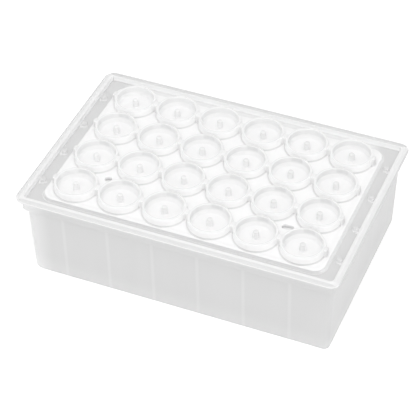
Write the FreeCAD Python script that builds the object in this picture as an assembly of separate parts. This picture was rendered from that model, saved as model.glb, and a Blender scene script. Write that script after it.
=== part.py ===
"""Deep 24-position well plate with its one-piece cap mat.

Frame: millimetres, X along the long side, Y along the short side, Z up.
Origin: centre of the footprint, on the surface that the plate stands on.
"""
import FreeCAD, Part
import os

os.makedirs("parts", exist_ok=True)
V = FreeCAD.Vector

# ---------------------------------------------------------------- driving dimensions
# Grid of positions, shared by the plate and the mat
PITCH = 18.0                # centre to centre, both ways
COLUMNS = 6                 # along X
ROWS = 4                    # along Y

# Plate: rim, shoulder under it, and tapered wall
RIM_LENGTH = 127.76         # outside of the rim, along X
RIM_WIDTH = 85.48           # outside of the rim, along Y
RIM_CORNER = 3.0            # outside corner radius of the rim
RIM_THICKNESS = 1.1         # height of the rim's outer edge
LIP_WIDTH = 0.8             # low lip that runs round the rim's outer edge
LIP_DROP = 0.6              # lip below the rim top
CROWN_FLAT = 1.0            # flat top of the rim, inside its sloping side
PLATE_HEIGHT = 36.0         # rim top above the table
OVERHANG = 2.0              # rim beyond the shoulder
SHOULDER_CORNER = 2.5
SHOULDER_DROP = 6.0         # shoulder's lower edge below the rim top
WALL_INSET = 0.9            # top of the wall, inside the shoulder
WALL_DRAFT = 0.85           # foot of the wall, inside its own top
WALL_CORNER = 2.2           # wall corners at the right end
KEYED_CORNER = 4.5          # rounder wall corners at the left end, which tell the two ends apart
WALL = 1.2                  # moulded wall thickness
TIGHTEST_CORNER = 0.8       # smallest corner radius left on an outline that is moved in

# Plate: sunken deck, wells and webs
DECK_DEPTH = 2.4            # deck top below the rim top
DECK_THICKNESS = 1.2
DECK_CORNER = 1.5           # inside corner radius of the recess above the deck
RECESS_WALL = 1.0           # wall between the recess and the shoulder's outside
BORE = 15.6                 # well diameter
WELL_WALL = 0.8
WELL_CLEARANCE = 2.0        # underside of the wells above the table
WELL_FLOOR = 0.9
BOTTOM_CHAMFER = 3.0        # sloping edge round the bottom of each well
WEB = 0.9                   # webs from well to well and from well to wall
WEB_CLEARANCE = 5.6         # lower edge of the webs above the table
PEG = 2.2                   # small pegs on the end ledges of the deck
PEG_HEIGHT = 1.9
PEG_FROM_RECESS = 2.0       # peg centre to the end of the recess

# Mat: sheet, cups, plugs
MAT_GAP_X = 4.9             # deck left bare at each end
MAT_GAP_Y = 3.2             # deck left bare at each side
MAT_CORNER = 5.0
MAT_THICKNESS = 1.4
CUP = 16.8                  # outside diameter of a cup at its foot
CUP_WALL = 1.15
CUP_DRAFT = 0.2             # the cup's radius at the top is this much smaller
CUP_HEIGHT = 3.3            # cup top above the sheet
CUP_SINK = 0.5              # cup floor below the sheet's upper face
CUP_CHAMFER = 0.8           # slope from the cup's wall to its floor
PIN = 2.2                   # centre pin in each cup
PIN_BELOW_RIM = 0.6         # pin top below the cup's top
NECK_WIDTH = 2.8            # necks that join the cups of a row
NECK_END = 9.5              # end lug, from the centre of the last cup
NECK_ROUND = 0.9
PLUG_CLEARANCE = 0.1        # radial, between a plug and its well
PLUG_DEPTH = 3.0            # plug below the deck's upper face
HOLE = 2.6                  # locating hole, and the width of the slot
SLOT_LENGTH = 4.6

# ---------------------------------------------------------------- worked-out levels
DECK_TOP = PLATE_HEIGHT - DECK_DEPTH
DECK_UNDER = DECK_TOP - DECK_THICKNESS
SHOULDER_FOOT = PLATE_HEIGHT - SHOULDER_DROP
RIM_UNDER = PLATE_HEIGHT - RIM_THICKNESS
MAT_TOP = DECK_TOP + MAT_THICKNESS
CUP_TOP = MAT_TOP + CUP_HEIGHT
CUP_FLOOR = MAT_TOP - CUP_SINK
SHOULDER_LENGTH = RIM_LENGTH - 2 * OVERHANG
SHOULDER_WIDTH = RIM_WIDTH - 2 * OVERHANG
RECESS_LENGTH = SHOULDER_LENGTH - 2 * RECESS_WALL
RECESS_WIDTH = SHOULDER_WIDTH - 2 * RECESS_WALL
CROWN_INSET = OVERHANG + RECESS_WALL - CROWN_FLAT
WELL_OUTSIDE = BORE / 2 + WELL_WALL
PLUG_RADIUS = BORE / 2 - PLUG_CLEARANCE


def row_centres():
    """Y of each row of positions."""
    return [(row - (ROWS - 1) / 2) * PITCH for row in range(ROWS)]


def column_centres():
    """X of each column of positions."""
    return [(column - (COLUMNS - 1) / 2) * PITCH for column in range(COLUMNS)]


def positions():
    """Centre of every position, row by row."""
    return [(x, y) for y in row_centres() for x in column_centres()]


def rounded_wire(length, width, radius, z, left_radius=None):
    """Closed outline of a rectangle with round corners, centred on the origin."""
    x, y = length / 2, width / 2
    edges = []
    for sx, sy in ((1, 1), (-1, 1), (-1, -1), (1, -1)):
        cx, cy = sx * x, sy * y
        here = left_radius if left_radius and sx < 0 else radius
        arc = here * (1 - 2 ** -0.5)
        on_side = V(cx, cy - sy * here, z)
        on_end = V(cx - sx * here, cy, z)
        middle = V(cx - sx * arc, cy - sy * arc, z)
        first, last = (on_side, on_end) if sx * sy > 0 else (on_end, on_side)
        if edges:
            edges.append(Part.LineSegment(edges[-1].Vertexes[-1].Point, first).toShape())
        edges.append(Part.Arc(first, middle, last).toShape())
    edges.append(Part.LineSegment(edges[-1].Vertexes[-1].Point, edges[0].Vertexes[0].Point).toShape())
    return Part.Wire(edges)


def rounded_block(length, width, radius, z_low, z_high):
    """Upright block with round vertical edges."""
    face = Part.Face(rounded_wire(length, width, radius, z_low))
    return face.extrude(V(0, 0, z_high - z_low))


def inner_radius(radius, inset):
    """Corner radius of an outline that is moved in by inset."""
    return max(radius - inset, TIGHTEST_CORNER)


def tapered_block(low, high):
    """Block lofted between two outlines, each given by the arguments of rounded_wire."""
    return Part.makeLoft([rounded_wire(*low), rounded_wire(*high)], True, True)


def centred_bar(length, width, x, y, z_low, z_high):
    """Upright box centred on (x, y)."""
    corner = V(x - length / 2, y - width / 2, z_low)
    return Part.makeBox(length, width, z_high - z_low, corner)


def turned(outline):
    """Solid turned about Z from a closed outline of (radius, z) points."""
    points = [V(radius, 0, z) for radius, z in outline]
    face = Part.Face(Part.makePolygon(points + points[:1]))
    return face.revolve(V(0, 0, 0), V(0, 0, 1), 360)


def at_positions(shape):
    """One copy of the shape at every position."""
    copies = []
    for x, y in positions():
        copy = shape.copy()
        copy.translate(V(x, y, 0))
        copies.append(copy)
    return copies


def fused(shapes):
    """All shapes as one."""
    return shapes[0].multiFuse(shapes[1:]) if len(shapes) > 1 else shapes[0]


# ---------------------------------------------------------------- plate
def rim_outline(inset):
    """Length, width and corner radius of the rim, moved in by inset."""
    return (RIM_LENGTH - 2 * inset, RIM_WIDTH - 2 * inset, inner_radius(RIM_CORNER, inset))


def wall_outline(inset, z):
    """Outline of the wall's outside at height z, moved in by inset, as arguments of rounded_wire."""
    fall = (SHOULDER_FOOT - z) / SHOULDER_FOOT
    step = WALL_INSET + WALL_DRAFT * fall + inset
    return (SHOULDER_LENGTH - 2 * step, SHOULDER_WIDTH - 2 * step, inner_radius(WALL_CORNER, inset), z,
            inner_radius(KEYED_CORNER, inset))


def shell():
    """Rim, shoulder, wall and deck, open below."""
    lip_top = PLATE_HEIGHT - LIP_DROP
    lip = rounded_block(*rim_outline(0), RIM_UNDER, lip_top)
    crown = tapered_block((*rim_outline(LIP_WIDTH), lip_top), (*rim_outline(CROWN_INSET), PLATE_HEIGHT))
    shoulder = rounded_block(SHOULDER_LENGTH, SHOULDER_WIDTH, SHOULDER_CORNER, SHOULDER_FOOT, RIM_UNDER)
    wall = tapered_block(wall_outline(0, 0), wall_outline(0, SHOULDER_FOOT))
    outside = fused([lip, crown, shoulder, wall])
    recess = rounded_block(RECESS_LENGTH, RECESS_WIDTH, DECK_CORNER, DECK_TOP, PLATE_HEIGHT)
    cavity = tapered_block(wall_outline(WALL, 0), wall_outline(WALL, DECK_UNDER))
    return outside.cut(fused([recess, cavity]))


def well_outside():
    """Outside of one well, from its floor up into the deck."""
    low = WELL_CLEARANCE
    slope = low + BOTTOM_CHAMFER
    foot = WELL_OUTSIDE - BOTTOM_CHAMFER
    return turned([(0, low), (foot, low), (WELL_OUTSIDE, slope), (WELL_OUTSIDE, DECK_TOP), (0, DECK_TOP)])


def well_bore():
    """Inside of one well, open at the top of the deck."""
    radius = BORE / 2
    low = WELL_CLEARANCE + WELL_FLOOR
    slope = low + BOTTOM_CHAMFER
    return turned([(0, low), (radius - BOTTOM_CHAMFER, low), (radius, slope), (radius, DECK_TOP), (0, DECK_TOP)])


def webs():
    """Thin upright webs through every row and column, ending inside the tapered wall."""
    rows = [centred_bar(RIM_LENGTH, WEB, 0, y, WEB_CLEARANCE, DECK_UNDER) for y in row_centres()]
    columns = [centred_bar(WEB, RIM_WIDTH, x, 0, WEB_CLEARANCE, DECK_UNDER) for x in column_centres()]
    middle_of_wall = tapered_block(wall_outline(WALL / 2, 0), wall_outline(WALL / 2, DECK_UNDER))
    return middle_of_wall.common(fused(rows + columns))


def pegs():
    """Small round pegs on the end ledges, one at each end of every row."""
    reach = RECESS_LENGTH / 2 - PEG_FROM_RECESS
    return [Part.makeCylinder(PEG / 2, PEG_HEIGHT, V(x, y, DECK_TOP))
            for y in row_centres() for x in (-reach, reach)]


def well_plate():
    """The plate: one moulding."""
    body = fused([shell(), webs()] + at_positions(well_outside()) + pegs())
    return body.cut(Part.makeCompound(at_positions(well_bore()))).removeSplitter()


# ---------------------------------------------------------------- mat
def cup_outside():
    """Outside of one cup, its foot sunk into the sheet."""
    foot = CUP / 2
    return turned([(0, CUP_FLOOR), (foot, CUP_FLOOR), (foot, MAT_TOP), (foot - CUP_DRAFT, CUP_TOP), (0, CUP_TOP)])


def cup_inside():
    """Hollow of one cup, round its centre pin."""
    mouth = CUP / 2 - CUP_WALL
    pin = PIN / 2
    pin_top = CUP_TOP - PIN_BELOW_RIM
    return turned([(pin, CUP_FLOOR), (mouth - CUP_CHAMFER, CUP_FLOOR), (mouth, CUP_FLOOR + CUP_CHAMFER),
                   (mouth, CUP_TOP), (0, CUP_TOP), (0, pin_top), (pin, pin_top)])


def plug():
    """Plug under one cup, standing in its well."""
    return Part.makeCylinder(PLUG_RADIUS, PLUG_DEPTH + MAT_THICKNESS / 2, V(0, 0, DECK_TOP - PLUG_DEPTH))


def necks():
    """One bar for each row: it leaves a neck between cups and a round-ended lug at each end."""
    half = (COLUMNS - 1) / 2 * PITCH + NECK_END
    bars = []
    for y in row_centres():
        bar = centred_bar(2 * half, NECK_WIDTH, 0, y, MAT_TOP, CUP_TOP)
        uprights = [edge for edge in bar.Edges if abs(edge.tangentAt(edge.FirstParameter).z) > 0.9]
        bars.append(bar.makeFillet(NECK_ROUND, uprights))
    return bars


def locating_holes():
    """Round hole on one side and round-ended slot on the other, between the first two rows."""
    x = PITCH * (COLUMNS - 2) / 2
    y = -PITCH * (ROWS - 2) / 2
    straight = SLOT_LENGTH - HOLE
    drills = [(-x, y), (x - straight / 2, y), (x + straight / 2, y)]
    rounds = [Part.makeCylinder(HOLE / 2, MAT_THICKNESS, V(*centre, DECK_TOP)) for centre in drills]
    return rounds + [centred_bar(straight, HOLE, x, y, DECK_TOP, MAT_TOP)]


def cap_mat():
    """The mat: one moulding, its sheet resting on the deck and its plugs in the wells."""
    length = RECESS_LENGTH - 2 * MAT_GAP_X
    width = RECESS_WIDTH - 2 * MAT_GAP_Y
    sheet = rounded_block(length, width, MAT_CORNER, DECK_TOP, MAT_TOP)
    solid = fused([sheet] + at_positions(cup_outside()) + at_positions(plug()) + necks())
    return solid.cut(Part.makeCompound(at_positions(cup_inside()) + locating_holes())).removeSplitter()


# ---------------------------------------------------------------- export
for name, make in (("well_plate", well_plate), ("cap_mat", cap_mat)):
    shape = make()
    shape.exportStep("parts/" + name + ".step")
    box = shape.BoundBox
    print(name, "solids", len(shape.Solids), "valid", shape.isValid(), "volume", round(shape.Volume, 1),
          "box", [round(v, 2) for v in (box.XMin, box.XMax, box.YMin, box.YMax, box.ZMin, box.ZMax)])
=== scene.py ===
# %% [markdown]
# # A deep well plate and its cap mat
#
# The object is two mouldings. The plate is a tub of natural polypropylene: a rim, a short shoulder
# under it, a tapered skirt that is open below, and a sunken deck with 24 deep wells hanging from it.
# The mat is soft silicone: a thin sheet with 24 shallow cups, a pin in each cup, and a plug under each
# cup that closes the well below it. Both are pale and slightly translucent, so the whole look rests on
# small differences of grey, on soft rounded edges and on the light that gathers in them.
#
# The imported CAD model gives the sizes. Each moulding is built again here as one closed mesh with the
# small radii that a mould leaves on every edge, because those radii are what catches the light.

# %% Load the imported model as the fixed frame
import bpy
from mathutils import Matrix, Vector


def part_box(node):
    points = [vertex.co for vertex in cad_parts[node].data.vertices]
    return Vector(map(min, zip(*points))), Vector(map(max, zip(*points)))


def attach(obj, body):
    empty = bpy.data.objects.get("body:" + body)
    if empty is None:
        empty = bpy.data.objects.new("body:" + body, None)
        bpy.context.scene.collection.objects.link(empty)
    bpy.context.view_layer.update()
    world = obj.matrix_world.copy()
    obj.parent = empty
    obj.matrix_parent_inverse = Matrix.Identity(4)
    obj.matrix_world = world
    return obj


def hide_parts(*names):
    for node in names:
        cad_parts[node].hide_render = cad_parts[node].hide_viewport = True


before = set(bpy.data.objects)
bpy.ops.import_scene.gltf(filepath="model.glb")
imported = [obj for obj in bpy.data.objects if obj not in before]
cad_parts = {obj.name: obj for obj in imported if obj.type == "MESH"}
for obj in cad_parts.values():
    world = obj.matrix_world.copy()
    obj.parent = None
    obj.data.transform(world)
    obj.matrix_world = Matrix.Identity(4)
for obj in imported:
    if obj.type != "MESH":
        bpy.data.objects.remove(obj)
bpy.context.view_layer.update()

# %% Modules
import math

import bmesh
import bpy
from mathutils import Matrix, Vector

MM = 0.001

# %% [markdown]
# ## Sizes
#
# The outside of the two pieces is read from the frame, so the render follows the CAD model. The rest
# are the product's own dimensions, in millimetres: wall thicknesses, depths and radii that a box can't
# tell. Levels are counted from the surface that the plate stands on.

# %% Outside sizes, from the frame
plate_low, plate_high = (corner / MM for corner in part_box("well_plate"))
mat_low, mat_high = (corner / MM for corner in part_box("cap_mat"))

RIM_LENGTH = plate_high.x - plate_low.x
RIM_WIDTH = plate_high.y - plate_low.y
RIM_TOP = plate_high.z
MAT_LENGTH = mat_high.x - mat_low.x
MAT_WIDTH = mat_high.y - mat_low.y
CUP_TOP = mat_high.z
PLUG_LOW = mat_low.z

# %% Sizes shared by the plate and the mat
PITCH = 18.0
COLUMNS = 6
ROWS = 4
BORE_RADIUS = 7.8
DECK_TOP = RIM_TOP - 2.4
DECK_UNDER = DECK_TOP - 1.2
SHEET_TOP = DECK_TOP + 1.4
OVERLAP = 0.4                      # how deep one form reaches into another that it melts into
SLIVER = 0.01                      # keeps two faces from lying in one plane
print("rim", round(RIM_LENGTH, 2), "by", round(RIM_WIDTH, 2), "mm, deck at", round(DECK_TOP, 2), "mm")

# %% Sizes of the plate. A name that ends in IN is a distance in from the outside of the rim.
LIP_IN = 0.8
LIP_DROP = 0.6
RIM_THICKNESS = 1.1
RECESS_IN = 3.0
SHOULDER_IN = 2.0
SHOULDER_FOOT = RIM_TOP - 6.0
SKIRT_IN = 2.9
SKIRT_DRAFT = 0.85
WALL = 1.2
PEG = 1.1                          # radius of a peg
PEG_IN = RECESS_IN + 2.0

# %% Sizes of the mat
CUP_FLOOR = SHEET_TOP - 0.5
CUP_FOOT = 8.4                     # outside radius of a cup at its foot
CUP_MOUTH = 7.25                   # inside radius of a cup
PIN = 1.1                          # radius of a pin
LUG_END = 9.5                      # from the middle of the last cup of a row
MAT_CORNER = 5.0
HOLE = 1.3                         # locating hole and slot: half their width
SLOT_STRAIGHT = 2.0
HOLE_COLUMN = PITCH * (COLUMNS - 2) / 2
HOLE_ROW = -PITCH * (ROWS - 2) / 2

# %% [markdown]
# ## Softened profiles
#
# A moulded edge is never sharp. Every profile below is a list of corners, each with the radius of its
# rounding, and one helper turns such a list into a smooth line. A corner may carry further values,
# which are passed on unchanged to every point of its rounding. The shell uses that for the radius of
# its outline in plan.

# %% Helper: round the corners of a profile
ROUNDING_STEPS = 4
SIDE_SHARE = 0.48                  # a rounding takes no more than this share of either side
NO_ROUNDING = 1e-4


def softened(corners, steps=ROUNDING_STEPS):
    """Profile points from corners given as (u, z, rounding, further values), ends kept as they are."""
    points = [(*corners[0][:2], *corners[0][3:])]
    for before, corner, after in zip(corners, corners[1:], corners[2:]):
        here = Vector(corner[:2])
        arrive = here - Vector(before[:2])
        leave = Vector(after[:2]) - here
        turn = arrive.angle_signed(leave)
        reach = abs(corner[2] * math.tan(turn / 2))
        reach = min(reach, SIDE_SHARE * arrive.length, SIDE_SHARE * leave.length)
        if reach < NO_ROUNDING:
            points.append((*here, *corner[3:]))
            continue
        start = here - arrive.normalized() * reach
        radius = reach / abs(math.tan(turn / 2))
        side = math.copysign(1, turn)
        inward = Vector((arrive.y, -arrive.x)).normalized() * side
        centre = start + inward * radius
        for step in range(steps + 1):
            angle = -turn * step / steps
            spoke = start - centre
            turned_spoke = Vector((spoke.x * math.cos(angle) - spoke.y * math.sin(angle),
                                   spoke.x * math.sin(angle) + spoke.y * math.cos(angle)))
            points.append((*(centre + turned_spoke), *corner[3:]))
    points.append((*corners[-1][:2], *corners[-1][3:]))
    return points


# %% Helper: a mesh object from rings of points
def skinned(name, rings):
    """Closed mesh through rings of points in millimetres, with a flat or pointed end at both ends."""
    shape = bmesh.new()
    loops = [[shape.verts.new(Vector(point) * MM) for point in ring] for ring in rings]
    for low, high in zip(loops, loops[1:]):
        count = max(len(low), len(high))
        for number in range(count):
            following = (number + 1) % count
            corners = [low[number % len(low)], low[following % len(low)],
                       high[following % len(high)], high[number % len(high)]]
            shape.faces.new(list(dict.fromkeys(corners)))
    for end in (loops[0], loops[-1]):
        if len(end) > 2:
            shape.faces.new(end)
    bmesh.ops.recalc_face_normals(shape, faces=shape.faces)
    mesh = bpy.data.meshes.new(name)
    shape.to_mesh(mesh)
    shape.free()
    made = bpy.data.objects.new(name, mesh)
    bpy.context.scene.collection.objects.link(made)
    return made


# %% Helper: turned forms
ON_AXIS = 1e-6


def turned(name, outline, segments=56):
    """Closed form turned about Z from (radius, z) points that begin and end on the axis."""
    rings = []
    for radius, z in outline:
        if radius < ON_AXIS:
            rings.append([(0, 0, z)])
            continue
        angles = [2 * math.pi * number / segments for number in range(segments)]
        rings.append([(radius * math.cos(angle), radius * math.sin(angle), z) for angle in angles])
    return skinned(name, rings)


# %% Helper: forms with a rounded rectangle as their outline
TIGHTEST_CORNER = 0.05


def outline_ring(length, width, radius, z, x=0.0, y=0.0, left=None, steps=9):
    """Points of a rectangle with round corners, centred on (x, y). The left corners may differ."""
    ring = []
    for corner, (side_x, side_y) in enumerate(((1, 1), (-1, 1), (-1, -1), (1, -1))):
        here = left if left and side_x < 0 else radius
        centre_x = x + side_x * (length / 2 - here)
        centre_y = y + side_y * (width / 2 - here)
        for step in range(steps + 1):
            angle = math.pi / 2 * (corner + step / steps)
            ring.append((centre_x + here * math.cos(angle), centre_y + here * math.sin(angle), z))
    return ring


def block(name, length, width, radius, z_low, z_high, edge, x=0.0, toe=0.0):
    """Upright block with round corners in plan, a rounding of size edge round its top and a toe."""
    foot = [(0, z_low, 0), (toe, z_low + toe, toe)] if toe else [(0, z_low, 0)]
    profile = softened(foot + [(toe, z_high, edge), (length / 2, z_high, 0)])[:-1]
    rings = [outline_ring(length - 2 * inset, width - 2 * inset, max(radius - inset, TIGHTEST_CORNER),
                          z, x)
             for inset, z in profile]
    return skinned(name, rings)


# %% [markdown]
# ## Repeating on the grid
#
# Wells, cups, plugs, webs, pegs and links all repeat on one grid. A Geometry Nodes tree does it: it
# takes the part that it sits on, makes one point for each place, puts an instance on each point and
# makes the instances real. The count and the spacing are inputs of the tree, so one tree serves every
# part.

# %% Geometry Nodes tree: one part, repeated on a centred grid
def add_input(tree, name, kind):
    return tree.interface.new_socket(name, in_out="INPUT", socket_type=kind)


def grid_tree():
    """Tree that repeats the part it sits on over columns and rows."""
    tree = bpy.data.node_groups.new("repeat_on_grid", "GeometryNodeTree")
    add_input(tree, "Part", "NodeSocketGeometry")
    for name, kind in (("Columns", "NodeSocketInt"), ("Rows", "NodeSocketInt"),
                       ("Column spacing", "NodeSocketFloat"), ("Row spacing", "NodeSocketFloat"),
                       ("Finish", "NodeSocketMaterial")):
        add_input(tree, name, kind)
    tree.interface.new_socket("Parts", in_out="OUTPUT", socket_type="NodeSocketGeometry")
    new, link = tree.nodes.new, tree.links.new
    given, result = new("NodeGroupInput"), new("NodeGroupOutput")

    def result_of(operation, first, second):
        node = new("ShaderNodeMath")
        node.operation = operation
        for socket, value in zip(node.inputs, (first, second)):
            if isinstance(value, (int, float)):
                socket.default_value = value
            else:
                link(value, socket)
        return node.outputs[0]

    def centred(number, count, spacing):
        middle = result_of("MULTIPLY", result_of("SUBTRACT", count, 1), 0.5)
        return result_of("MULTIPLY", result_of("SUBTRACT", number, middle), spacing)

    columns, rows = given.outputs["Columns"], given.outputs["Rows"]
    index = new("GeometryNodeInputIndex").outputs[0]
    column = result_of("MODULO", index, columns)
    row = result_of("FLOOR", result_of("DIVIDE", result_of("ADD", index, 0.5), columns), 0)
    place = new("ShaderNodeCombineXYZ")
    link(centred(column, columns, given.outputs["Column spacing"]), place.inputs["X"])
    link(centred(row, rows, given.outputs["Row spacing"]), place.inputs["Y"])
    points = new("GeometryNodePoints")
    link(result_of("MULTIPLY", columns, rows), points.inputs["Count"])
    link(place.outputs[0], points.inputs["Position"])
    one_part = new("GeometryNodeGeometryToInstance")
    link(given.outputs["Part"], one_part.inputs[0])
    on_points = new("GeometryNodeInstanceOnPoints")
    link(points.outputs[0], on_points.inputs["Points"])
    link(one_part.outputs[0], on_points.inputs["Instance"])
    real = new("GeometryNodeRealizeInstances")
    link(on_points.outputs[0], real.inputs[0])
    painted = new("GeometryNodeSetMaterial")
    link(real.outputs[0], painted.inputs["Geometry"])
    link(given.outputs["Finish"], painted.inputs["Material"])
    link(painted.outputs[0], result.inputs[0])
    return tree


GRID = grid_tree()
print("tree", GRID.name, "with inputs", [item.name for item in GRID.interface.items_tree][:6])


# %% Helpers: use the tree, and turn a live object into a plain mesh
def made_plain(made):
    """Replaces an object's mesh by its evaluated one and drops its modifiers."""
    bpy.context.view_layer.update()
    evaluated = made.evaluated_get(bpy.context.evaluated_depsgraph_get())
    mesh = bpy.data.meshes.new_from_object(evaluated)
    made.modifiers.clear()
    old, made.data = made.data, mesh
    bpy.data.meshes.remove(old)
    mesh.name = made.name
    return made


def on_grid(part, finish, columns=COLUMNS, rows=ROWS, column_spacing=PITCH, row_spacing=PITCH):
    """Repeats a part over the grid, as plain mesh."""
    live = part.modifiers.new("grid", "NODES")
    live.node_group = GRID
    values = {"Columns": columns, "Rows": rows, "Column spacing": column_spacing * MM,
              "Row spacing": row_spacing * MM, "Finish": finish}
    for item in GRID.interface.items_tree:
        if item.name in values:
            live[item.identifier] = values[item.name]
    return made_plain(part)


# %% [markdown]
# ## One moulding from many forms
#
# The forms of each moulding overlap, as they do in a mould drawing. Boolean modifiers melt them into
# one closed skin with nothing left inside. The Manifold solver is quick and exact on closed forms,
# and all of these are closed.

# %% Helper: join and cut closed forms
def moulded(body, steps):
    """Applies (operation, form) pairs to body with the Manifold solver, and removes the forms."""
    for operation, form in steps:
        cut = body.modifiers.new(operation.lower(), "BOOLEAN")
        cut.operation = operation
        cut.solver = "MANIFOLD"
        cut.object = form
    made_plain(body)
    for _, form in steps:
        mesh = form.data
        bpy.data.objects.remove(form)
        bpy.data.meshes.remove(mesh)
    return body


def shaded(body, sharp_from=32):
    """Smooth shading that keeps flat faces flat: edges sharper than the angle stay crisp."""
    for face in body.data.polygons:
        face.use_smooth = True
    body.data.set_sharp_from_angle(angle=math.radians(sharp_from))
    even = body.modifiers.new("even", "WEIGHTED_NORMAL")
    even.keep_sharp = True
    return made_plain(body)


# %% [markdown]
# ## Finishes
#
# Natural polypropylene and silicone have no colour of their own. What the eye reads is thickness: a
# thin wall with air behind it lets light through and looks greyer, while the rim and the sheet, which
# are solid, look almost white. The materials carry that as soft masks on Object coordinates, so they
# hold from every side. Webs that stand behind the skirt show through it as faint pale lines. Many
# masks also paint light and shade: painted shade in the crease of the rim, in the cups, at their
# feet and on the pins, painted light in crevices and on corners, and rim greys that differ by side.

# %% Helpers: small node-tree vocabulary
def new_finish(name, roughness, ior, gloss, depth):
    """Material with a Principled shader of a cloudy plastic: its tree and the shader node."""
    finish = bpy.data.materials.new(name)
    finish.use_nodes = True
    tree = finish.node_tree
    shader = next(node for node in tree.nodes if node.type == "BSDF_PRINCIPLED")
    for socket, value in (("Roughness", roughness), ("IOR", ior), ("Specular IOR Level", gloss),
                          ("Subsurface Weight", 1.0), ("Subsurface Radius", (1, 1, 1)),
                          ("Subsurface Scale", depth * MM)):
        shader.inputs[socket].default_value = value
    return finish, tree, shader


def fed(tree, kind, inputs, **settings):
    """New node with its settings, and with values or links put on its inputs."""
    node = tree.nodes.new(kind)
    for key, value in settings.items():
        setattr(node, key, value)
    for place, value in inputs.items():
        if isinstance(value, bpy.types.NodeSocket):
            tree.links.new(value, node.inputs[place])
        else:
            node.inputs[place].default_value = value
    return node


def calc(tree, operation, first, second=0.0):
    """Result of one Math node."""
    return fed(tree, "ShaderNodeMath", {0: first, 1: second}, operation=operation).outputs[0]


def product(tree, *factors):
    """Product of several masks."""
    result = factors[0]
    for factor in factors[1:]:
        result = calc(tree, "MULTIPLY", result, factor)
    return result


def ramp(tree, value, start, end):
    """Soft step: 0 up to start, 1 from end on, both in millimetres."""
    inputs = {"Value": value, "From Min": start * MM, "From Max": end * MM}
    return fed(tree, "ShaderNodeMapRange", inputs, interpolation_type="SMOOTHSTEP").outputs[0]


def band(tree, value, start, end, soft):
    """1 between start and end, with soft sides, all in millimetres."""
    return product(tree, ramp(tree, value, start - soft / 2, start + soft / 2),
                   ramp(tree, value, end + soft / 2, end - soft / 2))


def over(tree, mask, below, above):
    """above where the mask is 1, below where it is 0."""
    return fed(tree, "ShaderNodeMix", {0: mask, 2: below, 3: above}, data_type="FLOAT").outputs[0]


def place_axes(tree):
    """Place of the shaded point, and its X, Y and Z."""
    place = fed(tree, "ShaderNodeTexCoord", {}).outputs["Object"]
    split = fed(tree, "ShaderNodeSeparateXYZ", {0: place})
    return place, split.outputs["X"], split.outputs["Y"], split.outputs["Z"]


def grain(tree, place, scale, amount):
    """Soft cloudiness about zero. Scale is in ripples a metre, along each axis."""
    stretched = fed(tree, "ShaderNodeMapping", {"Vector": place, "Scale": scale}).outputs[0]
    noise = fed(tree, "ShaderNodeTexNoise", {"Vector": stretched, "Scale": 1.0, "Detail": 3.0}).outputs[0]
    return calc(tree, "MULTIPLY", calc(tree, "SUBTRACT", noise, 0.5), amount)


def finished(tree, shader, brightness):
    """Feeds one brightness to the base colour as a neutral grey."""
    colour = fed(tree, "ShaderNodeCombineColor", {0: brightness, 1: brightness, 2: brightness}).outputs[0]
    tree.links.new(colour, shader.inputs["Base Color"])


def length_of(tree, along, across):
    """Length of the plane vector (along, across)."""
    flat = fed(tree, "ShaderNodeCombineXYZ", {0: along, 1: across}).outputs[0]
    return fed(tree, "ShaderNodeVectorMath", {0: flat}, operation="LENGTH").outputs["Value"]


def from_centre(tree, axis, count):
    """Distance along one axis to the nearest of count grid centres, in metres."""
    within = calc(tree, "SUBTRACT", PITCH / 2 * MM, calc(tree, "PINGPONG", axis, PITCH / 2 * MM))
    beyond = calc(tree, "SUBTRACT", calc(tree, "ABSOLUTE", axis), (count - 1) / 2 * PITCH * MM)
    return calc(tree, "MAXIMUM", within, beyond)


def beyond_mat(tree, x, y):
    """Distance out from the mat's rounded outline, in metres. It is negative on the mat."""
    past = []
    for axis, size in ((x, MAT_LENGTH), (y, MAT_WIDTH)):
        reach = calc(tree, "SUBTRACT", calc(tree, "ABSOLUTE", axis), (size / 2 - MAT_CORNER) * MM)
        past.append(calc(tree, "MAXIMUM", reach, 0.0))
    return calc(tree, "SUBTRACT", length_of(tree, *past), MAT_CORNER * MM)


def to_holes(tree, x, y):
    """Distance to the middle of the locating hole or slot of the mat, in metres."""
    along = calc(tree, "SUBTRACT", calc(tree, "ABSOLUTE", x), HOLE_COLUMN * MM)
    along = calc(tree, "SUBTRACT", calc(tree, "ABSOLUTE", along), SLOT_STRAIGHT / 2 * MM)
    return length_of(tree, calc(tree, "MAXIMUM", along, 0.0), calc(tree, "SUBTRACT", y, HOLE_ROW * MM))


# %% Greys of the plate
WALL_GREY = 0.692
WALL_GRAIN = ((160, 160, 14), 0.03)           # ripples a metre along each axis, and their strength
WEB_GLOW = 0.035
WEB_LINE = (1.0, 0.2)                         # the pale line of a web fades over this distance
ROW_WEB_SHARE = 0.3                           # webs of the rows show less than those of the columns
# painted light: the skirt is lighter towards its bottom, where the floor's shade would fall
BOTTOM_PAINTED_LIGHT = 0.04
BOTTOM_PAINTED_LIGHT_HEIGHT = 9
CORNER_PAINTED_LIGHT = 0.11                            # painted light on the two round left corners
CORNER_PAINTED_LIGHT_X = (-50, -59)
CORNER_PAINTED_LIGHT_Y = (30, 37)
SHOULDER_GREY = 0.77
DECK_GREY = 0.69
STRIP_LIGHT_BY_SIDE = {"front": 0.70, "back": 0.80}    # narrow deck beside the long sides of the mat, with painted light at the back to lift the trench's shade
STRIP_END = (2, 7)                            # it fades out this far in from the mat's ends
CREVICE_LIGHT = 0.86                           # painted light on the deck next to the mat, lifting the crevice's shade
UNDER_HOLE_SHADE = 0.66                        # painted shade on the deck seen through the hole and the slot of the mat
PEG_LIGHT_AND_SHADE = (0.73, 0.67)                       # side and top of the pegs; the side is painted lighter than the top to lift its shade
PEG_FOOT_LIGHT = 0.86                          # painted light on the deck and recess wall next to a peg, lifting their shade
RECESS_LIGHT = (0.85, 1.0)                     # top and foot of the recess wall: pale like the rim, and painted lighter at the foot to lift its shade
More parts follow.
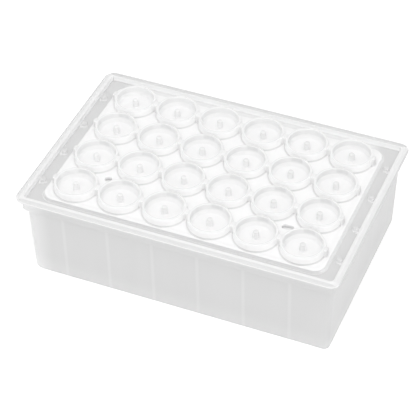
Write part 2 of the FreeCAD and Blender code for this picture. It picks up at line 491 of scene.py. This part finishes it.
# The rim's greys are painted light and shade: crown and crease darker at the back, lip darker at the ends,
# and the crease darker than the crown as painted shade.
CROWN_LIGHT_AND_SHADE = {"front": 0.815, "end": 0.79, "back": 0.69}
CREASE_SHADE = {"front": 0.715, "end": 0.77, "back": 0.63}
LIP_LIGHT_AND_SHADE = {"front": 0.735, "end": 0.61, "back": 0.75}


# %% Finish of the plate. Each mask gives where it starts and where it is full, in millimetres.
def light_and_shade_by_side(tree, greys, at_end, at_back):
    """Grey of a part of the rim with its painted light and shade: front, back, or either end."""
    return over(tree, at_end, over(tree, at_back, greys["front"], greys["back"]), greys["end"])


def plate_plastic():
    """Natural polypropylene: grey where it is thin, pale where it is thick, with painted light and shade
    in its crevices, corners, holes and rim.
    """
    finish, tree, shader = new_finish("plate_plastic", roughness=0.38, ior=1.49, gloss=0.12, depth=0.9)
    place, x, y, z = place_axes(tree)
    far_x, far_y = calc(tree, "ABSOLUTE", x), calc(tree, "ABSOLUTE", y)
    in_from_end = calc(tree, "SUBTRACT", RIM_LENGTH / 2 * MM, far_x)
    in_from_side = calc(tree, "SUBTRACT", RIM_WIDTH / 2 * MM, far_y)
    inset = calc(tree, "MINIMUM", in_from_end, in_from_side)
    at_end = ramp(tree, calc(tree, "SUBTRACT", in_from_end, in_from_side), 0.3, -0.3)
    at_back = ramp(tree, y, -1, 1)

    skirt = ramp(tree, z, SHOULDER_FOOT + 0.2, SHOULDER_FOOT - 0.2)
    row_webs = product(tree, ramp(tree, from_centre(tree, y, ROWS), *WEB_LINE), ROW_WEB_SHARE)
    webs = calc(tree, "MAXIMUM", ramp(tree, from_centre(tree, x, COLUMNS), *WEB_LINE), row_webs)
    left_corners = product(tree, ramp(tree, x, *CORNER_PAINTED_LIGHT_X), ramp(tree, far_y, *CORNER_PAINTED_LIGHT_Y))
    wall = calc(tree, "ADD", WALL_GREY, grain(tree, place, *WALL_GRAIN))
    wall = calc(tree, "ADD", wall, product(tree, webs, skirt, WEB_GLOW))
    # painted light towards the bottom of the skirt
    wall = calc(tree, "ADD", wall, product(tree, ramp(tree, z, BOTTOM_PAINTED_LIGHT_HEIGHT, 0), BOTTOM_PAINTED_LIGHT))
    shoulder = product(tree, ramp(tree, z, SHOULDER_FOOT, SHOULDER_FOOT + 4),
                       ramp(tree, inset, SKIRT_IN - 0.1, SKIRT_IN - 0.5))
    wall = over(tree, shoulder, wall, SHOULDER_GREY)
    # painted light on the two round left corners
    wall = calc(tree, "ADD", wall, product(tree, left_corners, CORNER_PAINTED_LIGHT))

    deck = product(tree, ramp(tree, z, DECK_UNDER, DECK_TOP - 0.1),
                   ramp(tree, inset, RECESS_IN - 0.2, RECESS_IN))
    wall = over(tree, deck, wall, DECK_GREY)
    # painted light on the narrow deck behind the mat, lifting the trench's shade
    strip = product(tree, deck, ramp(tree, far_y, MAT_WIDTH / 2 - 0.3, MAT_WIDTH / 2),
                    ramp(tree, far_x, *(MAT_LENGTH / 2 - inward for inward in STRIP_END)))
    wall = over(tree, strip, wall, over(tree, at_back, STRIP_LIGHT_BY_SIDE["front"], STRIP_LIGHT_BY_SIDE["back"]))
    # painted shade on the deck under the mat's hole and slot
    under_hole_shade = product(tree, deck, ramp(tree, to_holes(tree, x, y), HOLE + 0.4, HOLE + 0.1))
    wall = over(tree, under_hole_shade, wall, UNDER_HOLE_SHADE)
    low = band(tree, z, DECK_TOP - 0.3, DECK_TOP + 0.8, 0.4)
    # painted light in the crevice beside the mat
    crevice_light_mask = product(tree, ramp(tree, beyond_mat(tree, x, y), 0.6, 0.1), low)
    wall = over(tree, crevice_light_mask, wall, CREVICE_LIGHT)

    to_peg = length_of(tree, calc(tree, "SUBTRACT", in_from_end, PEG_IN * MM), from_centre(tree, y, ROWS))
    # painted light round the foot of each peg
    by_peg = product(tree, ramp(tree, to_peg, PEG + 0.5, PEG), low)
    wall = over(tree, by_peg, wall, PEG_FOOT_LIGHT)
    # pegs: side painted lighter than the top, to lift its shade
    peg = product(tree, ramp(tree, to_peg, PEG + 0.3, PEG + 0.1),
                  ramp(tree, z, DECK_TOP + 0.3, DECK_TOP + 0.9))
    wall = over(tree, peg, wall, over(tree, ramp(tree, z, DECK_TOP + 1.4, DECK_TOP + 1.8), *PEG_LIGHT_AND_SHADE))
    # painted light on the deck and recess wall behind each peg
    behind_peg = product(tree, ramp(tree, to_peg, PEG + 0.9, PEG + 0.5),
                         ramp(tree, in_from_end, PEG_IN - 0.3, PEG_IN - 0.8),
                         band(tree, z, DECK_TOP - 0.3, DECK_TOP + 1.6, 0.4))
    wall = over(tree, behind_peg, wall, PEG_FOOT_LIGHT)

    rim = product(tree, ramp(tree, inset, RECESS_IN + 0.5, RECESS_IN + 0.1),
                  ramp(tree, z, DECK_TOP, DECK_TOP + 0.4))
    # recess wall painted lighter towards its foot, to lift its shade
    top = over(tree, ramp(tree, z, RIM_TOP - 0.3, DECK_TOP + 0.3), *RECESS_LIGHT)
    # crown, crease and lip get their painted light and shade by side
    for greys, start, full in ((CROWN_LIGHT_AND_SHADE, RECESS_IN - 0.03, RECESS_IN - 0.15),
                               (CREASE_SHADE, SHOULDER_IN - 0.05, SHOULDER_IN - 0.45),
                               (LIP_LIGHT_AND_SHADE, LIP_IN - 0.05, LIP_IN - 0.35)):
        top = over(tree, ramp(tree, inset, start, full), top, light_and_shade_by_side(tree, greys, at_end, at_back))
    finished(tree, shader, over(tree, rim, wall, top))
    return finish


PLATE_PLASTIC = plate_plastic()
print("finish", PLATE_PLASTIC.name, "with", len(PLATE_PLASTIC.node_tree.nodes), "nodes")

# %% Greys of the mat
SHEET_GREY = 0.915
SHEET_GRAIN = ((240, 240, 240), 0.02)         # ripples a metre along each axis, and their strength
BORDER_SHADE = {"long": 0.87, "end": 0.89}     # painted shade on the sheet outside the cups, darker along the long sides
BORDER_EDGE = (3.2, 1.6)                      # how far in from its outline it starts, and is full
SHEET_SIDE_SHADE = (0.86, 0.70)                # painted shade on its side face, darker along the front
HOLE_SIDE_SHADE = 0.82                         # painted shade on the wall of the hole and of the slot
# painted light: cup floors lighter than the sheet, lifting the shade inside the cups
CUP_FLOOR_LIGHT = 0.955
INNER_WALL_SHADE = 0.81                        # painted shade on the inside of a cup
INNER_SIDE_SHADE = 0.78                        # the same painted shade, darker beside its links
# painted light on the outside of a cup, lifting its upright face
OUTER_WALL_LIGHT = 1.0
# painted shade on the lip of a cup
LIP_OF_CUP_SHADE = 0.805
# painted shade on the links between cups
LINK_SHADE = 0.84
# painted shade on the end face of a lug
LUG_END_SHADE = 0.75
FOOT_SHADE = (0.75, 0.81)                      # painted shade at the foot of a cup, away from the links and beside them
SHOW_THROUGH_SHADE = 0.745                     # painted shade on the far lip of a cup, for the shaded gap to the next cup seen through it
# painted shade on the pins, darker on top to offset the light from above
PIN_SHADE = 0.82
PIN_TOP_SHADE = 0.76
LEFT_SHADE_STRENGTH = 0.7                           # the painted shade of the cups is weaker towards the left
SHADE_STRENGTH_SPAN = 50


# %% Finish of the mat
def mat_silicone():
    """Milky silicone: pale, with painted shade on the cups, their lips, feet, links and pins, and painted
    light on the cup floors and outer walls.
    """
    finish, tree, shader = new_finish("mat_silicone", roughness=0.3, ior=1.43, gloss=0.35, depth=0.8)
    place, x, y, z = place_axes(tree)
    off_column = from_centre(tree, x, COLUMNS)
    radius = length_of(tree, off_column, from_centre(tree, y, ROWS))
    # the painted shade of the cups fades towards the left
    shade_strength = fed(tree, "ShaderNodeMapRange", {"Value": x, "From Min": -SHADE_STRENGTH_SPAN * MM,
                                                "From Max": SHADE_STRENGTH_SPAN * MM,
                                                "To Min": LEFT_SHADE_STRENGTH, "To Max": 1.0}).outputs[0]
    above_sheet = ramp(tree, z, SHEET_TOP + 0.3, SHEET_TOP + 0.6)

    milk_light_and_shade = calc(tree, "ADD", SHEET_GREY, grain(tree, place, *SHEET_GRAIN))
    past_mat = beyond_mat(tree, x, y)
    at_end = ramp(tree, calc(tree, "ABSOLUTE", x), *(MAT_LENGTH / 2 - inward for inward in BORDER_EDGE))
    # painted shade on the sheet's border
    border = over(tree, at_end, BORDER_SHADE["long"], BORDER_SHADE["end"])
    milk_light_and_shade = over(tree, ramp(tree, past_mat, *(-inward for inward in BORDER_EDGE)), milk_light_and_shade, border)
    # painted shade on the sheet's side face, darker along the front
    side = product(tree, ramp(tree, past_mat, -0.6, -0.3),
                   ramp(tree, z, SHEET_TOP - 0.2, SHEET_TOP - 0.5))
    at_front = ramp(tree, y, 2.4 - MAT_WIDTH / 2, 1.2 - MAT_WIDTH / 2)
    milk_light_and_shade = over(tree, side, milk_light_and_shade, over(tree, at_front, *SHEET_SIDE_SHADE))
    tree.links.new(calc(tree, "SUBTRACT", 1.0, side), shader.inputs["Subsurface Weight"])
    # painted shade on the walls of the hole and the slot
    drilling = product(tree, ramp(tree, to_holes(tree, x, y), HOLE + 0.3, HOLE + 0.15),
                       ramp(tree, z, SHEET_TOP - 0.1, SHEET_TOP - 0.25))
    milk_light_and_shade = over(tree, drilling, milk_light_and_shade, HOLE_SIDE_SHADE)
    # painted light on the cup floors
    milk_light_and_shade = over(tree, ramp(tree, radius, CUP_MOUTH - 0.65, CUP_MOUTH - 1.05), milk_light_and_shade,
                CUP_FLOOR_LIGHT)

    # painted shade inside the cups
    inner = over(tree, ramp(tree, off_column, 3.5, 6.5), INNER_WALL_SHADE, INNER_SIDE_SHADE)
    inside = product(tree, band(tree, radius, CUP_MOUTH - 0.3, CUP_MOUTH + 0.35, 0.3),
                     band(tree, z, CUP_TOP - 2.5, CUP_TOP - 0.15, 0.5), shade_strength)
    milk_light_and_shade = over(tree, inside, milk_light_and_shade, inner)
    # painted light on the outside of the cups
    outer = product(tree, band(tree, radius, CUP_MOUTH + 0.25, CUP_FOOT + 0.2, 0.2), above_sheet)
    milk_light_and_shade = over(tree, outer, milk_light_and_shade, OUTER_WALL_LIGHT)
    # painted shade on the links
    between = product(tree, ramp(tree, radius, CUP_FOOT - 0.1, CUP_FOOT + 0.2), above_sheet)
    milk_light_and_shade = over(tree, between, milk_light_and_shade, LINK_SHADE)
    # painted shade on the lips of the cups
    lip = product(tree, band(tree, radius, CUP_MOUTH - 0.05, CUP_FOOT + 0.1, 0.2),
                  ramp(tree, z, CUP_TOP - 0.4, CUP_TOP - 0.15))
    milk_light_and_shade = over(tree, lip, milk_light_and_shade, LIP_OF_CUP_SHADE)
    # painted shade at the foot of each cup
    foot = product(tree, band(tree, radius, CUP_FOOT - 0.2, CUP_FOOT + 0.45, 0.2),
                   ramp(tree, z, SHEET_TOP + 0.6, SHEET_TOP + 0.3), shade_strength)
    milk_light_and_shade = over(tree, foot, milk_light_and_shade, over(tree, ramp(tree, off_column, 2, 7), *FOOT_SHADE))
    # painted shade on the lug ends
    lug_end = product(tree, ramp(tree, radius, LUG_END - 0.6, LUG_END - 0.35), above_sheet)
    milk_light_and_shade = over(tree, lug_end, milk_light_and_shade, LUG_END_SHADE)

    # painted shade on the far lip, for the shaded gap to the next cup
    from_row = fed(tree, "ShaderNodeMath", {0: y, 1: 0.0, 2: PITCH * MM}, operation="WRAP").outputs[0]
    last_row = (ROWS - 1) / 2 * PITCH
    behind = product(tree, band(tree, from_row, PITCH / 2 + 6.9, PITCH / 2 + 8.25, 0.3),
                     ramp(tree, off_column, 4.5, 3.5), ramp(tree, z, CUP_TOP - 2.2, CUP_TOP - 1.7),
                     ramp(tree, y, last_row + 1, last_row - 1), shade_strength)
    milk_light_and_shade = over(tree, behind, milk_light_and_shade, SHOW_THROUGH_SHADE)

    # painted shade on the pins, darker on top
    pin = product(tree, ramp(tree, radius, PIN + 0.4, PIN + 0.1),
                  ramp(tree, z, CUP_FLOOR + 0.05, CUP_FLOOR + 0.4), shade_strength)
    pin_shade = over(tree, ramp(tree, z, CUP_TOP - 1.6, CUP_TOP - 0.9), PIN_SHADE, PIN_TOP_SHADE)
    finished(tree, shader, over(tree, pin, milk_light_and_shade, pin_shade))
    return finish


MAT_SILICONE = mat_silicone()
print("finish", MAT_SILICONE.name, "with", len(MAT_SILICONE.node_tree.nodes), "nodes")

# %% [markdown]
# ## The plate's shell
#
# Rim, shoulder, skirt and deck are one wall that follows a rounded rectangle. It is drawn once as a
# profile, from the middle of the deck outwards, over the rim, down the skirt and back up inside it.
# Each corner of the profile gives its distance in from the rim's outside, its height, its rounding
# and the radius of the outline in plan, and the shell is skinned through the rings that this gives.

# %% Profile and skin of the shell
RIM_CORNER = 4.2
LIP_CORNER = 3.3
CROWN_CORNER = 2.0
RECESS_CORNER = 1.5
SHOULDER_CORNER = 2.5
SKIRT_CORNERS = (2.2, 4.5)         # at the right end, and rounder at the left end
INNER_CORNERS = (1.0, 3.3)
DECK_REACH = 2.0                   # how far in the profile's two ends run, where flat faces close them

shell_profile = softened([
    (RECESS_IN + DECK_REACH, DECK_TOP, 0, RECESS_CORNER),
    (RECESS_IN, DECK_TOP, 0.35, RECESS_CORNER),
    (RECESS_IN, RIM_TOP, 0.25, RECESS_CORNER),
    (SHOULDER_IN, RIM_TOP, 0.4, CROWN_CORNER),
    (LIP_IN, RIM_TOP - LIP_DROP, 0.15, LIP_CORNER),
    (0, RIM_TOP - LIP_DROP, 0.2, RIM_CORNER),
    (0, RIM_TOP - RIM_THICKNESS, 0.15, RIM_CORNER),
    (SHOULDER_IN, RIM_TOP - RIM_THICKNESS, 0.4, SHOULDER_CORNER),
    (SHOULDER_IN, SHOULDER_FOOT, 0.3, SHOULDER_CORNER),
    (SKIRT_IN, SHOULDER_FOOT, 0.3, *SKIRT_CORNERS),
    (SKIRT_IN + SKIRT_DRAFT, 0, 0.3, *SKIRT_CORNERS),
    (SKIRT_IN + SKIRT_DRAFT + WALL, 0, 0.3, *INNER_CORNERS),
    (SKIRT_IN + WALL, DECK_UNDER, 0.5, *INNER_CORNERS),
    (SKIRT_IN + WALL + DECK_REACH, DECK_UNDER, 0, *INNER_CORNERS)])
shell_rings = [outline_ring(RIM_LENGTH - 2 * inset, RIM_WIDTH - 2 * inset, corners[0], z, left=corners[-1])
               for inset, z, *corners in shell_profile]
plate = skinned("plate_moulding", shell_rings)
plate.data.materials.append(PLATE_PLASTIC)
print("shell profile of", len(shell_profile), "points")

# %% [markdown]
# ## Wells, webs and pegs
#
# A well is a turned cup with a sloping edge round its floor. Its outside is melted into the deck and
# its bore is cut out last, so the mouth stays clean where webs run through. The webs are thin upright
# slabs under the deck: they stiffen the skirt and are what shows through it.

# %% Outside and bore of the wells
WELL_LOW = 2.0
WELL_WALL = 0.8
WELL_FLOOR = 0.9
SLOPE = 3.0
MOUTH_EASE = 0.25
well_radius = BORE_RADIUS + WELL_WALL

wells = turned("wells", softened([
    (0, WELL_LOW, 0), (well_radius - SLOPE, WELL_LOW, 0.8), (well_radius, WELL_LOW + SLOPE, 0.8),
    (well_radius, DECK_TOP - OVERLAP, 0), (0, DECK_TOP - OVERLAP, 0)]))
bores = turned("bores", softened([
    (0, WELL_LOW + WELL_FLOOR, 0), (BORE_RADIUS - SLOPE, WELL_LOW + WELL_FLOOR, 0.6),
    (BORE_RADIUS, WELL_LOW + WELL_FLOOR + SLOPE, 0.8), (BORE_RADIUS, DECK_TOP - MOUTH_EASE, 0.1),
    (BORE_RADIUS + MOUTH_EASE, DECK_TOP + SLIVER, 0), (0, DECK_TOP + SLIVER, 0)]))
for part in (wells, bores):
    on_grid(part, PLATE_PLASTIC)

# %% Webs through every row and every column
WEB = 0.9
WEB_LOW = 5.6
WEB_EDGE = 0.1
skirt_middle = SKIRT_IN + WALL / 2


def web(name, across, along_x):
    """One upright slab from wall to wall, its ends following the draft of the skirt."""
    rings = []
    for z in (WEB_LOW, DECK_TOP - OVERLAP):
        reach = across - 2 * (skirt_middle + SKIRT_DRAFT * (1 - z / SHOULDER_FOOT))
        sides = (reach, WEB) if along_x else (WEB, reach)
        rings.append(outline_ring(*sides, WEB_EDGE, z, steps=1))
    return skinned(name, rings)


row_webs = on_grid(web("row_webs", RIM_LENGTH, True), PLATE_PLASTIC, columns=1)
column_webs = on_grid(web("column_webs", RIM_WIDTH, False), PLATE_PLASTIC, rows=1)

# %% Pegs on the end ledges
PEG_TOP = DECK_TOP + 1.9
PEG_FLARE = 0.3
peg_reach = RIM_LENGTH / 2 - PEG_IN
pegs = turned("pegs", softened([
    (0, DECK_TOP - OVERLAP, 0), (PEG + PEG_FLARE, DECK_TOP - OVERLAP, 0), (PEG + PEG_FLARE, DECK_TOP, 0),
    (PEG, DECK_TOP + PEG_FLARE, 0.3), (PEG, PEG_TOP, 0.45), (0, PEG_TOP, 0)]), segments=24)
on_grid(pegs, PLATE_PLASTIC, columns=2, column_spacing=2 * peg_reach)

# %% Melt the plate into one skin
moulded(plate, [("UNION", wells), ("UNION", row_webs), ("UNION", column_webs), ("UNION", pegs),
                ("DIFFERENCE", bores)])
shaded(plate)
plate.data.calc_loop_triangles()
print("plate", len(plate.data.loop_triangles), "triangles")

# %% [markdown]
# ## The mat
#
# The sheet is a block with an eased upper edge. A hole is cut for each cup, and the cup is put in as
# one turned form: plug, foot, wall, lip, hollow floor and centre pin, all in one profile. The links
# between the cups of a row, and the lugs at its ends, are small round-ended blocks.

# %% Sheet with its openings
SEAT = CUP_MOUTH + 0.5             # radius of the opening under a cup
CUTTER_REACH = 1.0                 # cutters run this far past the sheet

sheet = block("mat_moulding", MAT_LENGTH, MAT_WIDTH, MAT_CORNER, DECK_TOP, SHEET_TOP, 0.5, toe=0.4)
sheet.data.materials.append(MAT_SILICONE)
seats = turned("seats", [(0, DECK_TOP - CUTTER_REACH), (SEAT, DECK_TOP - CUTTER_REACH),
                         (SEAT, SHEET_TOP + CUTTER_REACH), (0, SHEET_TOP + CUTTER_REACH)])
on_grid(seats, MAT_SILICONE)

# %% Cups with plugs and pins
FOOT_EASE = 0.12
CUP_DRAFT = 0.2
PLUG_CLEARANCE = 0.1
PIN_TOP = CUP_TOP - 0.6
plug_radius = BORE_RADIUS - PLUG_CLEARANCE
sheet_middle = (DECK_TOP + SHEET_TOP) / 2

cups = turned("cups", softened([
    (0, PLUG_LOW, 0),
    (plug_radius, PLUG_LOW, 0.6),
    (plug_radius, sheet_middle, 0),
    (CUP_FOOT + FOOT_EASE, sheet_middle, 0),
    (CUP_FOOT + FOOT_EASE, SHEET_TOP - SLIVER, 0),
    (CUP_FOOT, SHEET_TOP + FOOT_EASE, 0.3),
    (CUP_FOOT - CUP_DRAFT, CUP_TOP, 0.4),
    (CUP_MOUTH, CUP_TOP, 0.35),
    (CUP_MOUTH, CUP_FLOOR, 1.0),
    (PIN, CUP_FLOOR, 0.35),
    (PIN, PIN_TOP, 0.5),
    (0, PIN_TOP, 0)]), segments=72)
on_grid(cups, MAT_SILICONE)

# %% Links between cups and lugs at the ends of each row
LINK = 2.8                         # width of a link and of a lug
LINK_LOW = SHEET_TOP - 0.3
LINK_TOP = CUP_TOP - 2 * SLIVER
LINK_EDGE = 0.35
LINK_CORNER = 0.1
LUG_CORNER = 0.85
wall_middle = (CUP_FOOT + CUP_MOUTH) / 2


def row_of_links():
    """Links and lugs of one row, as one object of separate closed blocks."""
    blocks = []
    ends = (COLUMNS - 1) / 2 * PITCH
    for number in range(COLUMNS - 1):
        x = (number - (COLUMNS - 2) / 2) * PITCH
        length = PITCH - 2 * wall_middle
        blocks.append(block("link", length, LINK, LINK_CORNER, LINK_LOW, LINK_TOP, LINK_EDGE, x))
    for side in (-1, 1):
        length = LUG_END - wall_middle
        x = side * (ends + (LUG_END + wall_middle) / 2)
        blocks.append(block("lug", length, LINK, LUG_CORNER, LINK_LOW, LINK_TOP, LINK_EDGE, x))
    joined = blocks[0]
    shape = bmesh.new()
    for made in blocks:
        shape.from_mesh(made.data)
    shape.to_mesh(joined.data)
    shape.free()
    for made in blocks[1:]:
        bpy.data.objects.remove(made)
    joined.name = "row_links"
    return joined


links = on_grid(row_of_links(), MAT_SILICONE, columns=1)

# %% Locating hole and slot
HOLE_EASE = 0.2
HOLE_EASE_DEPTH = 0.25


def drilled(name, straight, x):
    """Round-ended cutter, straight millimetres longer than wide."""
    rings = []
    for reach, z in ((HOLE, DECK_TOP - CUTTER_REACH), (HOLE, SHEET_TOP - HOLE_EASE_DEPTH),
                     (HOLE + HOLE_EASE, SHEET_TOP), (HOLE + HOLE_EASE, CUP_TOP)):
        rings.append(outline_ring(2 * reach + straight, 2 * reach, reach - SLIVER / 10, z, x, HOLE_ROW))
    return skinned(name, rings)


round_hole = drilled("round_hole", 0.0, -HOLE_COLUMN)
slot_hole = drilled("slot_hole", SLOT_STRAIGHT, HOLE_COLUMN)

# %% Melt the mat into one skin
mat = moulded(sheet, [("DIFFERENCE", seats), ("UNION", cups), ("UNION", links), ("DIFFERENCE", round_hole),
                      ("DIFFERENCE", slot_hole)])
shaded(mat)
mat.data.calc_loop_triangles()
print("mat", len(mat.data.loop_triangles), "triangles")

# %% [markdown]
# ## Riding on the frame
#
# The two mouldings stand for the two CAD nodes. The mat only rests in the plate, so both ride on the
# one body.

# %% Bodies and nodes
for piece, node, slot in ((plate, "well_plate", "plate_plastic"), (mat, "cap_mat", "mat_silicone")):
    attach(piece, "root")
    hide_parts(node)

# %% [markdown]
# ## Studio
#
# A white sweep and soft light: the object is paler than most backgrounds, so the shape is carried by
# a broad key light from the front right and a bright sky.

# %% Floor
FLOOR_SPREAD = 4000
FLOOR_CORNER = 10
FLOOR_THICKNESS = 2.0
FLOOR_GLOW = 0.25                  # seen in the floor itself and in gloss, but not cast on the object

floor = skinned("floor", [outline_ring(FLOOR_SPREAD, FLOOR_SPREAD, FLOOR_CORNER, z, steps=1)
                          for z in (-FLOOR_THICKNESS, 0)])
ground = bpy.data.materials.new("ground")
ground.use_nodes = True
ground_shader = next(node for node in ground.node_tree.nodes if node.type == "BSDF_PRINCIPLED")
ground_shader.inputs["Base Color"].default_value = (0.9, 0.9, 0.9, 1)
ground_shader.inputs["Roughness"].default_value = 1.0
ground_shader.inputs["Specular IOR Level"].default_value = 0.0
paths = fed(ground.node_tree, "ShaderNodeLightPath", {})
seen = calc(ground.node_tree, "MAXIMUM", paths.outputs["Is Camera Ray"], paths.outputs["Is Glossy Ray"])
seen = calc(ground.node_tree, "MAXIMUM", seen, paths.outputs["Is Transmission Ray"])
lift = calc(ground.node_tree, "MULTIPLY", seen, FLOOR_GLOW)
ground.node_tree.links.new(lift, ground_shader.inputs["Emission Strength"])
ground_shader.inputs["Emission Color"].default_value = (1, 1, 1, 1)
floor.data.materials.append(ground)

# %% World and key light
world = bpy.data.worlds.new("sky")
bpy.context.scene.world = world
world.use_nodes = True
sky = next(node for node in world.node_tree.nodes if node.type == "BACKGROUND")
sky.inputs["Color"].default_value = (1, 1, 1, 1)
sky.inputs["Strength"].default_value = 0.84


def softbox(name, azimuth, elevation, distance, size, power):
    """Square area light that looks at the object from an azimuth and an elevation."""
    turn, rise = math.radians(azimuth), math.radians(elevation)
    away = Vector((math.sin(turn) * math.cos(rise), -math.cos(turn) * math.cos(rise), math.sin(rise)))
    lamp = bpy.data.lights.new(name, "AREA")
    lamp.size = size
    lamp.energy = power
    made = bpy.data.objects.new(name, lamp)
    bpy.context.scene.collection.objects.link(made)
    made.location = away * distance
    made.rotation_euler = away.to_track_quat("Z", "Y").to_euler()
    return made


softbox("key", azimuth=22, elevation=58, distance=1.2, size=0.8, power=4.6)

# %% Camera: angles in degrees, places in millimetres from the middle of the rim's top
CAMERA_AZIMUTH = 22.778
CAMERA_ELEVATION = 41.789
CAMERA_ROLL = -0.598
CAMERA_DISTANCE = 645.1
CAMERA_RIGHT = -1.92
CAMERA_UP = -14.59
CAMERA_LENS = 146.73428
CAMERA_SENSOR = 36.0

turn, rise, roll = (math.radians(angle) for angle in (CAMERA_AZIMUTH, CAMERA_ELEVATION, CAMERA_ROLL))
back = Vector((math.sin(turn) * math.cos(rise), -math.cos(turn) * math.cos(rise), math.sin(rise)))
level = (-back).cross(Vector((0, 0, 1))).normalized()
upright = level.cross(-back)
right = level * math.cos(roll) + upright * math.sin(roll)
up = upright * math.cos(roll) - level * math.sin(roll)
camera_data = bpy.data.cameras.new("camera")
camera_data.sensor_width = CAMERA_SENSOR
camera_data.lens = CAMERA_LENS
camera_data.clip_start = 0.01
camera = bpy.data.objects.new("camera", camera_data)
bpy.context.scene.collection.objects.link(camera)
aim = Vector((0, 0, RIM_TOP))
camera.location = (aim + back * CAMERA_DISTANCE + right * CAMERA_RIGHT + up * CAMERA_UP) * MM
camera.rotation_euler = Matrix((right, up, back)).transposed().to_euler()
bpy.context.scene.camera = camera
bpy.context.scene.view_settings.view_transform = "Standard"

# %% Update the view layer
bpy.context.view_layer.update()
